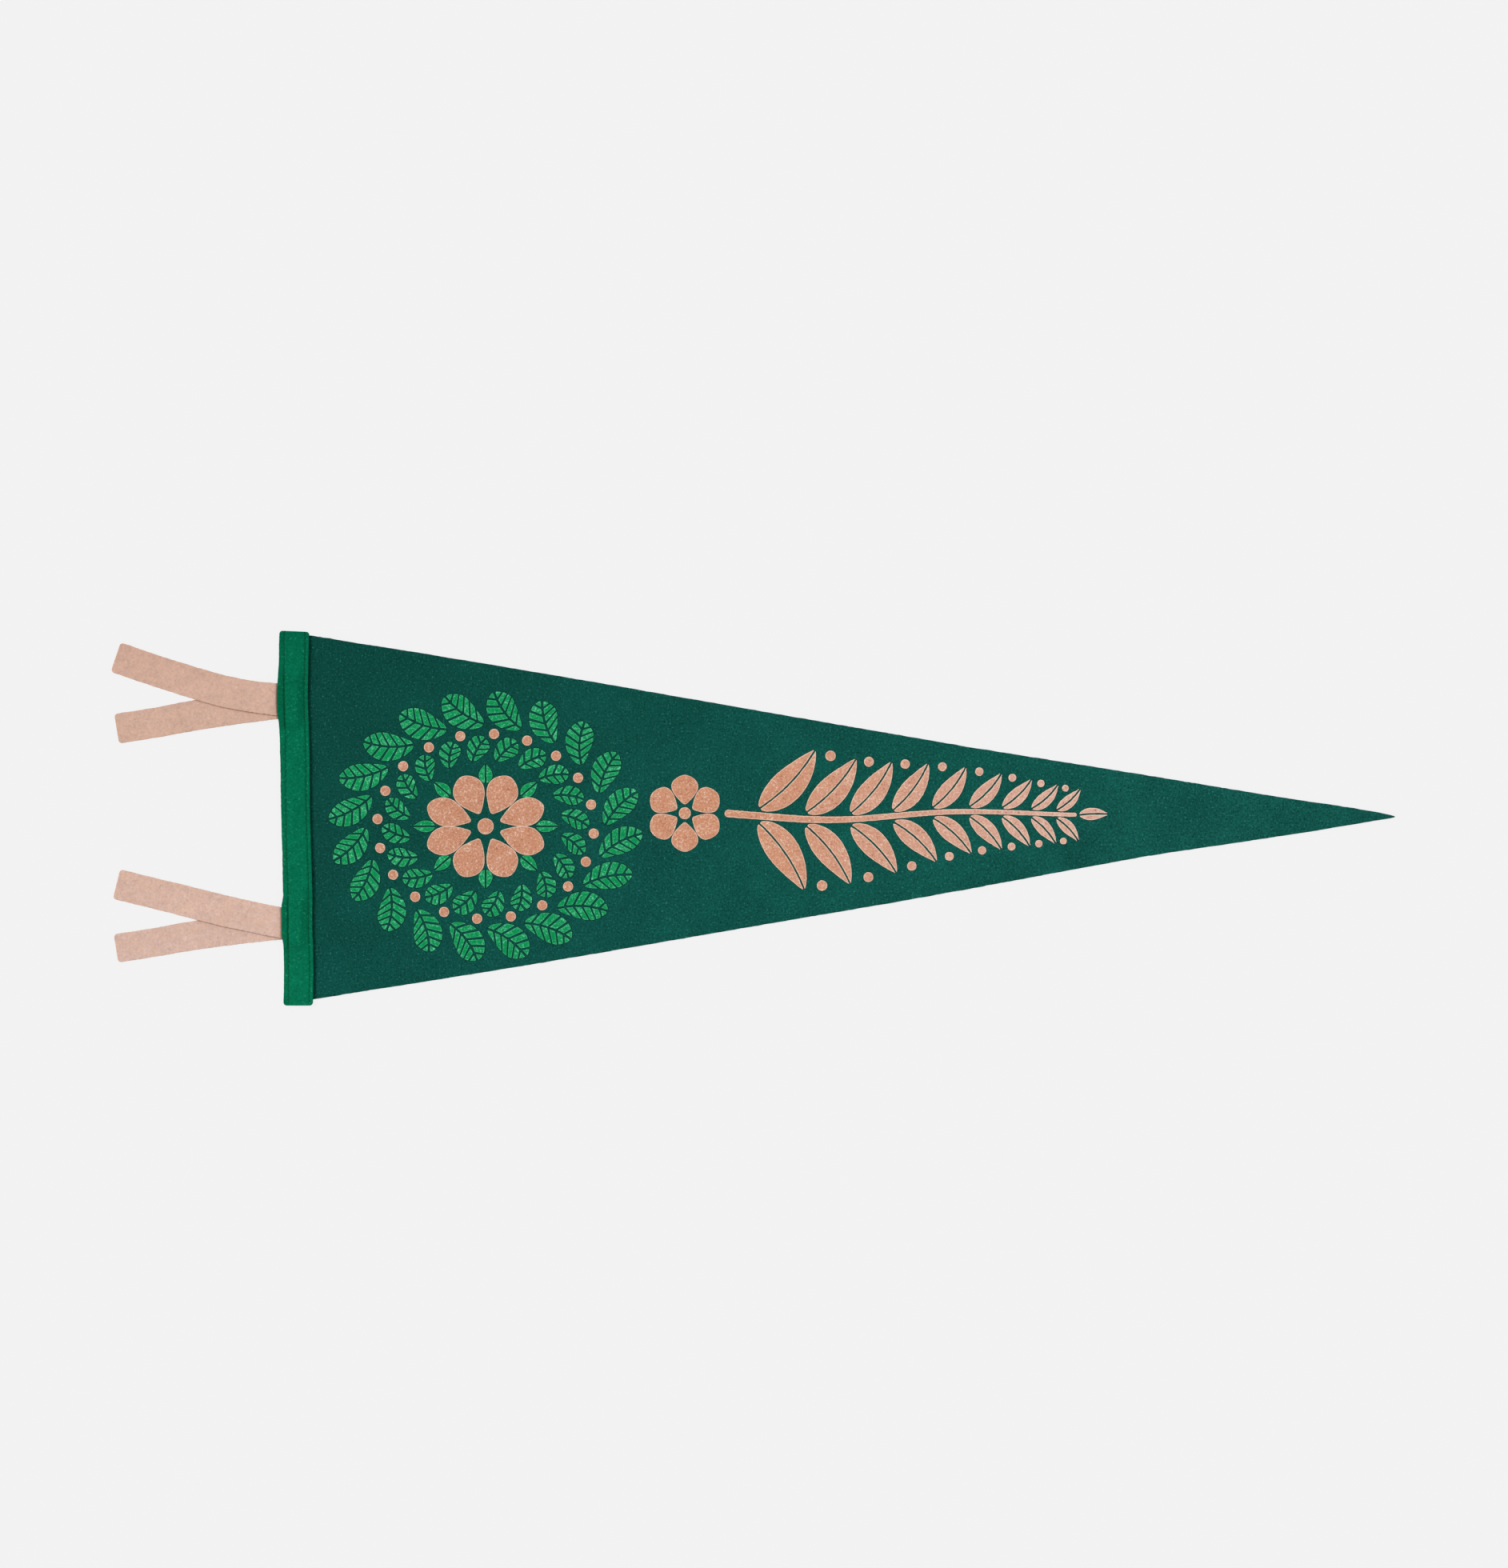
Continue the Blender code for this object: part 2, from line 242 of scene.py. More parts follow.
def pressedFelt(name, felt):
    # Pressed wool felt, needled and rolled, then cut raw: no weave, a matt ground of tangled fibre
    # with small dark pits and pale flecks, soft clouds where the web was thicker, and a faint nap.
    # Fibres are 0.02 mm thick, so the grain is drawn at the size of their tufts, 0.5 to 3 mm.
    material, shader = startMaterial(name, {
        "Roughness": 0.95, "Specular IOR Level": 0.04, "IOR": 1.45, "Sheen Weight": felt["sheen"],
        "Sheen Roughness": 0.6, "Sheen Tint": hexColour(felt["sheenTint"])})
    tree = material.node_tree
    place = addNode(tree, "ShaderNodeTexCoord").outputs["Object"]

    # the ground tone runs evenly from one side of the piece to the other; on the cloth and the heading
    # it is painted light falloff
    along = addNode(
        tree, "ShaderNodeVectorMath", {"operation": "DOT_PRODUCT"}, {1: felt["runAlong"]}, {0: place})
    run = addNode(
        tree, "ShaderNodeMapRange",
        values={"From Min": felt["runFrom"] * mm, "From Max": felt["runTo"] * mm},
        links={"Value": along.outputs["Value"]})
    ground = setStops(addNode(tree, "ShaderNodeValToRGB", links={0: run.outputs[0]}), felt["run"])

    # tufts, blotches, clouds and batches of fibre: one unevenness at four sizes
    uneven = {}
    for kind, detail, rough, twist in (
            ("tuft", 3.0, 0.6, 0.3), ("blotch", 2.0, 0.5, 0.8), ("cloud", 2.0, 0.5, 0.0),
            ("batch", 2.0, 0.6, 0.0)):
        uneven[kind] = addNode(
            tree, "ShaderNodeTexNoise",
            values={"Scale": 1000 / felt[kind], "Detail": detail, "Roughness": rough,
                    "Distortion": twist},
            links={"Vector": place}).outputs["Fac"]
    mixed = addNode(
        tree, "ShaderNodeMath", {"operation": "MULTIPLY_ADD"}, {1: felt["blotchShare"]},
        {0: uneven["blotch"], 2: uneven["tuft"]})
    mottle = addNode(
        tree, "ShaderNodeMath", {"operation": "MULTIPLY_ADD"}, {1: felt["cloudShare"]},
        {0: uneven["cloud"], 2: mixed.outputs[0]})
    middle = 0.5 * (1.0 + felt["blotchShare"] + felt["cloudShare"])
    shade = addNode(
        tree, "ShaderNodeMapRange",
        values={"From Min": middle - 0.3, "From Max": middle + 0.3,
                "To Min": 1.0 - felt["mottle"], "To Max": 1.0 + felt["mottle"]},
        links={"Value": mottle.outputs[0]})
    grain = addNode(
        tree, "ShaderNodeMapRange", values={"To Min": felt["grainAtStart"]},
        links={"Value": run.outputs[0]})
    shaded = addNode(
        tree, "ShaderNodeMix", {"data_type": "RGBA", "blend_type": "MULTIPLY"},
        links={0: grain.outputs[0], 6: ground.outputs[0], 7: shade.outputs[0]})

    # where two batches of fibre met, the ground shifts to a second tone
    shift = addNode(
        tree, "ShaderNodeMapRange", {"interpolation_type": "SMOOTHSTEP"},
        {"From Min": 0.42, "From Max": 0.62, "To Max": felt["batchShare"]},
        {"Value": uneven["batch"]})
    surface = addNode(
        tree, "ShaderNodeMix", {"data_type": "RGBA"}, {7: hexColour(felt["batchTone"])},
        {0: shift.outputs[0], 6: shaded.outputs[2]})

    # small dark pits where the web is thin, and pale flecks where a tuft stands up
    for kind, side in (("pit", -1), ("fleck", 1)):
        start = 0.5 + side * felt[kind + "From"]
        spots = addNode(
            tree, "ShaderNodeMapRange", {"interpolation_type": "SMOOTHSTEP"},
            {"From Min": start, "From Max": start + side * 0.14, "To Max": felt[kind + "Share"]},
            {"Value": uneven["tuft"]})
        surface = addNode(
            tree, "ShaderNodeMix", {"data_type": "RGBA"}, {7: hexColour(felt[kind])},
            {0: spots.outputs[0], 6: surface.outputs[2]})

    # single pale fibres that lie on the surface, in two directions
    strands = None
    for turn in (0.5, 2.1):
        laid = addNode(
            tree, "ShaderNodeMapping",
            values={"Rotation": (0.0, 0.0, turn),
                    "Scale": (1000 / felt["fibre"], 1000 / felt["fibreLong"], 300)},
            links={"Vector": place})
        threads = addNode(
            tree, "ShaderNodeTexNoise",
            values={"Scale": 1.0, "Detail": 1.0, "Distortion": 1.6}, links={"Vector": laid.outputs[0]})
        if strands is None:
            strands = threads.outputs["Fac"]
        else:
            strands = addNode(
                tree, "ShaderNodeMath", {"operation": "MAXIMUM"},
                links={0: strands, 1: threads.outputs["Fac"]}).outputs[0]
    shown = addNode(
        tree, "ShaderNodeMapRange",
        values={"From Min": felt["fibreFrom"], "From Max": felt["fibreFrom"] + 0.12,
                "To Max": felt["fibreShare"]},
        links={"Value": strands})
    toned = addNode(
        tree, "ShaderNodeMix", {"data_type": "RGBA"}, {7: hexColour(felt["fibreTone"])},
        {0: shown.outputs[0], 6: surface.outputs[2]})

    # painted shade: beside a seam, under an edge and where a tie goes under the heading, the felt is
    # multiplied darker
    paintedShadeAttribute = addNode(tree, "ShaderNodeAttribute", {"attribute_name": "paintedShade"})
    paintedShade = addNode(
        tree, "ShaderNodeMix", {"data_type": "RGBA", "blend_type": "MULTIPLY"},
        {7: hexColour(felt["paintedShadeTone"])}, {0: paintedShadeAttribute.outputs["Fac"], 6: toned.outputs[2]})
    tree.links.new(paintedShade.outputs[2], shader.inputs["Base Color"])

    # the nap: tufts and fibres stand up by a few hundredths of a millimetre
    height = addNode(
        tree, "ShaderNodeMath", {"operation": "MULTIPLY_ADD"}, {1: 0.5},
        {0: strands, 2: mottle.outputs[0]})
    nap = addNode(
        tree, "ShaderNodeBump", values={"Strength": felt["nap"], "Distance": felt["napHeight"] * mm},
        links={"Height": height.outputs[0]})
    tree.links.new(nap.outputs[0], shader.inputs["Normal"])
    return material


# cloth: a long triangle of dark green felt, flat on the floor

cloth = {
    "thick": 1.2,
    "edgeRound": 0.35,
    "hiddenEdge": ((-287.7, -114.0), (-290.4, 114.0)),     # lower and upper end, under the heading
    "along": (-272.7, -244.7, -197.5, -138.4, -91.2, 3.2, 85.9, 133.1, 180.4, 239.4, 286.6, 333.9,
              357.5, 381.1, 393.2, 394.6),
    "upper": (112.5, 107.9, 100.5, 90.6, 82.6, 66.1, 51.8, 43.7, 36.2, 26.9, 19.1, 11.4, 8.0, 4.3,
              1.7, 1.2),
    "lower": (-111.8, -107.3, -99.9, -90.4, -82.3, -66.1, -52.0, -43.5, -34.7, -23.8, -16.7, -9.7,
              -5.8, -1.9, 0.1, 0.6),
    "hiddenWide": 17.0,        # how much of it lies under the heading
    "rowStep": 2.1,
    "rowStepBySeam": 0.6,
    "fineRowsOver": 9.0,
    "stepsAcross": 92,
    "waveSizes": ((62, 0.06), (24, 0.045), (7, 0.03)),     # across and height of the unevenness
    "flatUntil": -268.0,       # pressed flat under the heading, uneven a little way past it
    "unevenOver": 12.0,
    "edgeWander": 0.12,
    "dipByHeading": 0.3,       # the sewn-down felt dips along the heading's right edge
    "dipWide": 1.1,
    "dipFade": 1.6,
    # painted shade on the cloth along the heading's right edge, where the heading's shadow falls
    "paintedShadeShare": 0.4,
    "underTrough": 0.42,       # the bobbin thread is drawn this far into the underside
    "underTroughHalfWide": 1.1,
    # painted shade in the underside trough along each row
    "underPaintedShadeShare": 0.6,
    "felt": {
        # painted light falloff: darker towards the upper left, lighter towards the lower right
        "runAlong": (1.0, -1.1, 0.0), "runFrom": -342, "runTo": 390,
        "run": ((0.0, "0a453c"), (0.29, "0d4c43"), (0.38, "0e4e46"), (0.54, "0f5148"),
                (0.88, "12544b"), (1.0, "104e46")),
        "tuft": 1.2, "blotch": 2.8, "cloud": 42, "blotchShare": 0.3, "cloudShare": 0.35,
        "mottle": 0.64, "grainAtStart": 0.6, "pit": "05241e", "pitFrom": 0.08, "pitShare": 0.4,
        "fleck": "52a69c", "fleckFrom": 0.09, "fleckShare": 0.24,
        "batch": 30, "batchShare": 0.15, "batchTone": "0c4038",
        "fibre": 0.8, "fibreLong": 4.5, "fibreFrom": 0.70, "fibreShare": 0.2, "fibreTone": "5aa094",
        # the last tone below is the tone of the painted shade
        "nap": 0.35, "napHeight": 0.2, "sheen": 0.03, "sheenTint": "3f9c88", "paintedShadeTone": "b4bcb4",
    },
}


def clothEdges(x):
    return between(x, cloth["along"], cloth["lower"]), between(x, cloth["along"], cloth["upper"])


def clothTop(x, y):
    uneven = ease((x - cloth["flatUntil"]) / cloth["unevenOver"])
    lift = sum(high * waver(x, y, size, 1 + size) for size, high in cloth["waveSizes"])
    return cloth["thick"] + lift * uneven


# heading: a strip of brighter green felt sewn down over the cloth's straight edge

heading = {
    "thick": 1.4,
    "edgeRound": 0.4,
    "height": (-115.2, -94.6, -77.4, -72.5, -56.2, -47.9, -28.2, 1.3, 35.8, 57.9, 65.3, 75.1, 87.4,
               102.2, 115.2),
    "left": (-288.7, -288.4, -288.5, -289.5, -289.7, -288.9, -289.3, -290.1, -290.7, -291.3,
             -292.3, -292.6, -291.8, -291.5, -291.3),
    "right": (-270.6, -270.2, -270.5, -270.8, -271.0, -270.8, -271.4, -272.3, -272.6, -273.1,
              -273.4, -273.8, -273.5, -273.1, -272.9),
    "corner": 2.0,
    "upperEndLean": 0.6,
    "upperEndLeanReach": 20.0,
    "seamHeight": (-115.2, -54.0, -40.0, -25.0, 5.0, 49.0, 64.0, 79.0, 115.2),
    "leftSeam": (-285.4, -285.7, -285.9, -286.6, -287.2, -287.3, -287.7, -288.1, -288.3),
    "rightSeamIn": 2.3,
    "troughHalfWide": 1.0,
    "troughDeep": 0.34,
    "troughDeepByTie": 0.6,
    "puff": 0.16,              # the felt puffs up between the two rows
    "dimple": {"height": 82.2, "from": -287.0, "slope": 0.24, "halfWide": 1.5, "inFromSides": 4.0,
               "fade": 2.0, "deep": 0.22},
    "lumps": ((9.0, 0.05, 21), (2.6, 0.035, 23)),          # across, height and seed
    # painted shade in the margin outside the left row, in both rows and in the dimple; ByTie is what a
    # tie underneath adds
    "paintedShade": {"margin": 0.06, "marginByTie": 0.22, "marginPast": 0.5, "marginFade": 1.5,
               "left": 0.18, "leftByTie": 0.8, "leftHalfWide": 0.9,
               "right": 0.4, "rightHalfWide": 0.7, "dimple": 0.22},
    "stepAlong": 0.6,
    "stepsAcross": 40,
    "edgeWander": 0.1,
    "felt": {
        # painted light falloff: lighter at the lower end, darker at the upper end
        "runAlong": (0.0, 1.0, 0.0), "runFrom": -115, "runTo": 115,
        "run": ((0.0, "05704f"), (0.5, "036b4b"), (0.75, "036b4b"), (1.0, "026346")),
        "tuft": 1.2, "blotch": 3.0, "cloud": 26, "blotchShare": 0.22, "cloudShare": 0.25,
        "mottle": 0.30, "grainAtStart": 1.0, "pit": "014a31", "pitFrom": 0.08, "pitShare": 0.5,
        "fleck": "42b484", "fleckFrom": 0.11, "fleckShare": 0.5,
        "batch": 9, "batchShare": 0.2, "batchTone": "045c40",
        "fibre": 0.8, "fibreLong": 4.5, "fibreFrom": 0.72, "fibreShare": 0.3, "fibreTone": "1c9a68",
        # the last tone below is the tone of the painted shade
        "nap": 0.3, "napHeight": 0.2, "sheen": 0.02, "sheenTint": "3fc48f", "paintedShadeTone": "a2b2a2",
    },
}

# ties: each a strip of peach felt folded in half, its fold caught under the heading

ties = {
    "thick": 1.0,
    "gap": 0.3,
    "edgeRound": 0.32,
    "corner": 2.2,
    "clearOfEdge": 2.0,
    "dropFromCloth": 18.0,
    "dropFromTail": 9.0,
    "clearOfFold": 0.4,
    "underEdgeShade": 0.4,     # painted shade on the lower tail along the upper tail's edge
    "stepsAlong": 180,
    "stepsAcross": 24,
    "stepsRoundFold": 8,
    "underEdgeHalfWide": 0.9,
    "paintedShadeReach": 1.5,           # painted shade from this far outside the heading's left edge inwards
    "lumps": ((6.0, 0.06), (2.6, 0.10)),       # across and height of the felt's small lumps
    "lumpsUntil": -283.5,      # smooth where it is held, lumpy a little way out from it
    "lumpsOver": 4.0,
    "edgeWander": 0.12,
    "strips": {
        "tieUpper": {
            "replaces": "tie_upper",
            "along": (-392.1, -364.7, -345.1, -325.4, -305.7, -293.4, -282.5),
            "upperMiddle": (99.0, 89.8, 83.6, 78.1, 74.4, 73.1, 72.0),
            "upperWide": (19.1, 19.1, 19.2, 19.4, 19.1, 19.8, 19.2),
            "lowerAlong": (-391.5, -364.7, -345.1, -325.4, -305.7, -293.4, -282.5),
            "lowerMiddle": (54.9, 59.3, 62.9, 66.0, 68.7, 70.4, 72.0),
            "lowerWide": (18.4, 18.4, 18.6, 18.6, 18.7, 18.9, 19.2),
            "rise": (60.0, 84.0), "fadeBelow": 7.0, "fadeAbove": 14.0,
        },
        "tieLower": {
            "replaces": "tie_lower",
            "along": (-391.6, -364.7, -345.1, -325.4, -305.7, -293.4, -280.5),
            "upperMiddle": (-40.6, -47.1, -52.0, -56.9, -61.2, -63.6, -65.4),
            "upperWide": (18.7, 18.7, 18.9, 19.0, 18.6, 18.8, 18.2),
            "lowerAlong": (-391.9, -364.7, -345.1, -325.4, -305.7, -293.4, -280.5),
            "lowerMiddle": (-80.2, -75.8, -72.4, -69.7, -67.3, -65.9, -65.4),
            "lowerWide": (17.6, 17.6, 17.8, 17.8, 17.8, 17.9, 18.2),
            "rise": (-76.0, -53.2), "fadeBelow": 7.0, "fadeAbove": 8.0,
        },
    },
    "felt": {
        "runAlong": (0.0, 1.0, 0.0), "runFrom": -90, "runTo": 105,
        "run": ((0.0, "d5b5a8"), (0.35, "d4b1a1"), (0.72, "ceaa98"), (0.85, "ceaa99"), (1.0, "cba594")),
        "tuft": 1.4, "blotch": 3.6, "cloud": 20, "blotchShare": 0.5, "cloudShare": 0.3,
        "mottle": 0.17, "grainAtStart": 1.0, "pit": "b48c76", "pitFrom": 0.13, "pitShare": 0.5,
        "fleck": "ecd0b8", "fleckFrom": 0.14, "fleckShare": 0.3,
        "batch": 5, "batchShare": 0.3, "batchTone": "d8b096",
        "fibre": 0.7, "fibreLong": 4.0, "fibreFrom": 0.72, "fibreShare": 0.3, "fibreTone": "ead2c4",
        # the last tone below is the tone of the painted shade
        "nap": 0.5, "napHeight": 0.25, "sheen": 0.03, "sheenTint": "f4ded2", "paintedShadeTone": "a08c84",
    },
}

onCloth = cloth["thick"] + ties["gap"]
tailStep = ties["thick"] + ties["gap"]


def headingSides(y):
    heights = heading["height"]
    return between(y, heights, heading["left"]), between(y, heights, heading["right"])


def leftSeam(y):
    # this row runs nearly straight, while the strip's edge bows out over the ties
    return between(y, heading["seamHeight"], heading["leftSeam"])


def besideTie(strip, y):
    # 1 over a tie, fading to 0 on both sides of it
    low, high = strip["rise"]
    if y < low:
        return 1.0 - ease((low - y) / strip["fadeBelow"])
    return 1.0 - ease((y - high) / strip["fadeAbove"])


def byTies(y):
    return max(besideTie(strip, y) for strip in ties["strips"].values())


def headingUnderside(x, y):
    right = headingSides(y)[1]
    rise = 0.0
    for strip in ties["strips"].values():
        start = strip["along"][-1] + ties["thick"] + ties["gap"] / 2 + ties["clearOfFold"]
        end = right - heading["rightSeamIn"] + heading["troughHalfWide"]
        across = 1.0 - ease((x - start) / (end - start))
        rise = max(rise, 2 * tailStep * across * besideTie(strip, y))
    return onCloth + rise


# seam: two rows of lockstitch through heading and cloth

seam = {
    "pitch": 3.0,
    "from": -113.4,
    "to": 113.6,
    "strayAlong": 0.22,        # the holes are a little uneven, as a sewer's hand leaves them
    "strayAcross": 0.12,
    "holeAcross": 0.75,
    "holeDeep": 0.24,
    "wide": 0.42,
    "lengthShare": 0.94,       # of the way from hole to hole
    "narrowing": 0.3,          # a stitch is this much narrower at its ends
    "rise": 0.10,              # it stands this high at its middle and drops by endDrop at its ends
    "endDrop": 0.30,
    "belowTrough": 0.08,       # how far the bobbin thread lies below the roof of its trough
    "thread": "075a3e",
    "threadShade": "034630",
    "plyTurn": 0.9,
}


def seamPlaces(row):
    # needle holes of a row
    count = round((seam["to"] - seam["from"]) / seam["pitch"])
    places = []
    for step in range(count + 1):
        y = seam["from"] + step * seam["pitch"]
        y += seam["strayAlong"] * waver(step * 3.1, row * 40, 5.0, 61)
        x = leftSeam(y) if row == 0 else headingSides(y)[1] - heading["rightSeamIn"]
        x += seam["strayAcross"] * waver(step * 3.1, row * 90, 9.0, 67)
        places.append((x, y))
    return places


seamRows = [seamPlaces(0), seamPlaces(1)]
seamHeights = [[place[1] for place in places] for places in seamRows]


def fromHole(x, y, row):
    # distance to the nearest needle hole of a row
    near = bisect(seamHeights[row], y)
    close = seamRows[row][max(near - 1, 0):near + 1]
    return min(math.hypot(x - holeX, y - holeY) for holeX, holeY in close)


def dimple(x, y):
    # a faint slanting dent where the upper tie's top edge ends under the strip
    dent = heading["dimple"]
    left, right = headingSides(y)
    fromLine = abs(y - dent["height"] - (x - dent["from"]) * dent["slope"]) / dent["halfWide"]
    fromLeft = (x - left - dent["inFromSides"]) / dent["fade"]
    fromRight = (right - dent["inFromSides"] - x) / dent["fade"]
    return (1.0 - ease(fromLine)) * ease(fromLeft) * ease(fromRight)


def headingTop(x, y):
    right = headingSides(y)[1]
    deep = heading["troughDeep"] + (heading["troughDeepByTie"] - heading["troughDeep"]) * byTies(y)
    fromLeft = abs(x - leftSeam(y)) / heading["troughHalfWide"]
    fromRight = abs(right - heading["rightSeamIn"] - x) / heading["troughHalfWide"]
    z = headingUnderside(x, y) + heading["thick"]
    z -= deep * (1.0 - ease(fromLeft)) + heading["troughDeep"] * (1.0 - ease(fromRight))
    # the felt puffs up between the rows and is drawn down at each needle hole
    share = (x - leftSeam(y)) / (right - heading["rightSeamIn"] - leftSeam(y))
    if 0.0 < share < 1.0:
        z += heading["puff"] * math.sin(math.pi * share) ** 0.7 * (1.0 - 0.5 * byTies(y))
    for row in (0, 1):
        z -= seam["holeDeep"] * (1.0 - ease(fromHole(x, y, row) / seam["holeAcross"]))
    z -= heading["dimple"]["deep"] * dimple(x, y)
    return z + sum(high * waver(x, y, size, seed) for size, high, seed in heading["lumps"])


def makeCloth():
    felt = pressedFelt("pressedFeltDarkGreen", cloth["felt"])
    first, tip = cloth["along"][0], cloth["along"][-1]
    fineStep = cloth["rowStepBySeam"]
    starts = np.linspace(0.0, 1.0, round(cloth["hiddenWide"] / fineStep) + 1)
    count = round((tip - cloth["edgeRound"] - first) / cloth["rowStep"])
    fine = list(np.arange(first + fineStep, first + cloth["fineRowsOver"], fineStep))
    rows = fine + list(np.linspace(fine[-1], tip - cloth["edgeRound"], count + 1)[1:])
    rows += [tip - cloth["edgeRound"] * share for share in (0.5, 0.13, 0.0)]
    lines = []
    for share in starts:
        (lowX, lowY), (highX, highY) = cloth["hiddenEdge"]
        lower, upper = clothEdges(first)
        lines.append((
            (lowX + share * (first - lowX), lowY + share * (lower - lowY)),
            (highX + share * (first - highX), highY + share * (upper - highY))))
    for x in rows:
        lower, upper = clothEdges(x)
        lines.append(((x, lower), (x, upper)))

    def place(row, column, layer):
        (lowX, lowY), (highX, highY) = lines[row]
        wide = highY - lowY
        radius = min(cloth["edgeRound"], wide * 0.25)
        distance = placesAcross(wide, radius, cloth["stepsAcross"])[column]
        share = distance / wide
        x = lowX + share * (highX - lowX)
        y = lowY + distance
        fromEdge = min(distance, wide - distance)
        drop = roundDrop(min(fromEdge, tip - x), radius)
        wander = cloth["edgeWander"] * (waver(x, y, 1.9, 31) + waver(x, y, 6.0, 33))
        y += wander * (1.0 - ease(fromEdge / 3.0)) * min(wide / 6.0, 1.0)
        right = headingSides(y)[1]
        if layer == 1:
            # this falloff lowers the cloth into its dip and also paints shade there, along the
            # heading's right edge
            paintedShade = 1.0 - ease((x - right - cloth["dipWide"]) / cloth["dipFade"])
            z = clothTop(x, y) - cloth["dipByHeading"] * paintedShade - drop
            return x, y, z, cloth["paintedShadeShare"] * paintedShade
        # painted shade in the underside trough along each row
        fromSeam = min(abs(x - leftSeam(y)), abs(right - heading["rightSeamIn"] - x))
        trough = 1.0 - ease(fromSeam / cloth["underTroughHalfWide"])
        return x, y, drop + cloth["underTrough"] * trough, cloth["underPaintedShadeShare"] * trough

    across = len(placesAcross(100.0, cloth["edgeRound"], cloth["stepsAcross"])) - 1
    piece = bentSheet("pennantCloth", len(lines) - 1, across, place, felt)
    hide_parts("pennant_cloth")
    return piece


def makeHeading():
    felt = pressedFelt("pressedFeltLeafGreen", heading["felt"])
    low, high = heading["height"][0], heading["height"][-1]
    steps = round((high - low) / heading["stepAlong"])
    ends = [heading["corner"] * share for share in (0.0, 0.08, 0.25, 0.55)]
    heights = [low + end for end in ends]
    heights += list(np.linspace(low + heading["corner"], high - heading["corner"], steps + 1))
    heights += [high - end for end in reversed(ends)]
    across = len(placesAcross(18.0, heading["edgeRound"], heading["stepsAcross"])) - 1

    def place(row, column, layer):
        y = heights[column]
        left, right = headingSides(y)
        wide = right - left
        distance = placesAcross(wide, heading["edgeRound"], heading["stepsAcross"])[row]
        x = left + distance
        fromSide = min(distance, wide - distance)
        fromEnd = min(y - low, high - y)
        drop = roundDrop(min(fromSide, fromEnd), heading["edgeRound"])
        z = headingTop(x, y) - drop if layer == 1 else headingUnderside(x, y) + drop
        share = distance / wide
        # painted shade in the margin outside the left row, in both rows and in the dimple, more where a
        # tie lies underneath
        paintedShadeShares = heading["paintedShade"]
        fromSeam = x - leftSeam(y)
        fromRightSeam = wide - distance - heading["rightSeamIn"]
        margin = 1.0 - ease((fromSeam + paintedShadeShares["marginPast"]) / paintedShadeShares["marginFade"])
        inLeft = 1.0 - ease(abs(fromSeam) / paintedShadeShares["leftHalfWide"])
        inRight = 1.0 - ease(abs(fromRightSeam) / paintedShadeShares["rightHalfWide"])
        paintedShade = max(
            (paintedShadeShares["margin"] + paintedShadeShares["marginByTie"] * byTies(y)) * margin,
            (paintedShadeShares["left"] + paintedShadeShares["leftByTie"] * byTies(y)) * inLeft,
            paintedShadeShares["right"] * inRight,
            paintedShadeShares["dimple"] * dimple(x, y))
        wander = heading["edgeWander"] * (waver(x, y, 1.8, 41) + waver(x, y, 7.0, 43))
        x += roundDrop(fromEnd, heading["corner"]) * (1.0 - 2.0 * share)
        x += wander * (1.0 - ease(fromSide / 2.0))
        y -= heading["upperEndLean"] * share * ease(1.0 - (high - y) / heading["upperEndLeanReach"])
        return x, y, z, paintedShade

    piece = bentSheet("headingStrip", across, len(heights) - 1, place, felt)
    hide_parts("heading")
    return piece


def tailTable(along, middle, wide):
    slopes = [float(slope) for slope in np.gradient(middle, along)]
    slopes[-1] = 0.0            # level where it folds
    return {"along": along, "middle": middle, "wide": wide, "slopes": slopes}


def tailAt(tail, x):
    # the middle line's height and slope, and the width, on one smooth curve
    along = tail["along"]
    first = min(max(bisect(along, x) - 1, 0), len(along) - 2)
    length = along[first + 1] - along[first]
    t = (x - along[first]) / length
    start, end = tail["middle"][first:first + 2]
    climb = end - start
    rise, fall = tail["slopes"][first] * length, tail["slopes"][first + 1] * length
    middle = start + climb * t * t * (3 - 2 * t) + rise * t * (1 - t) ** 2 - fall * t * t * (1 - t)
    slope = (climb * 6 * t * (1 - t) + rise * (1 - t) * (1 - 3 * t) + fall * t * (3 * t - 2)) / length
    return middle, slope, between(x, along, tail["wide"])


def clothLeft(y):
    (lowX, lowY), (highX, highY) = cloth["hiddenEdge"]
    return between(y, (lowY, highY), (lowX, highX))


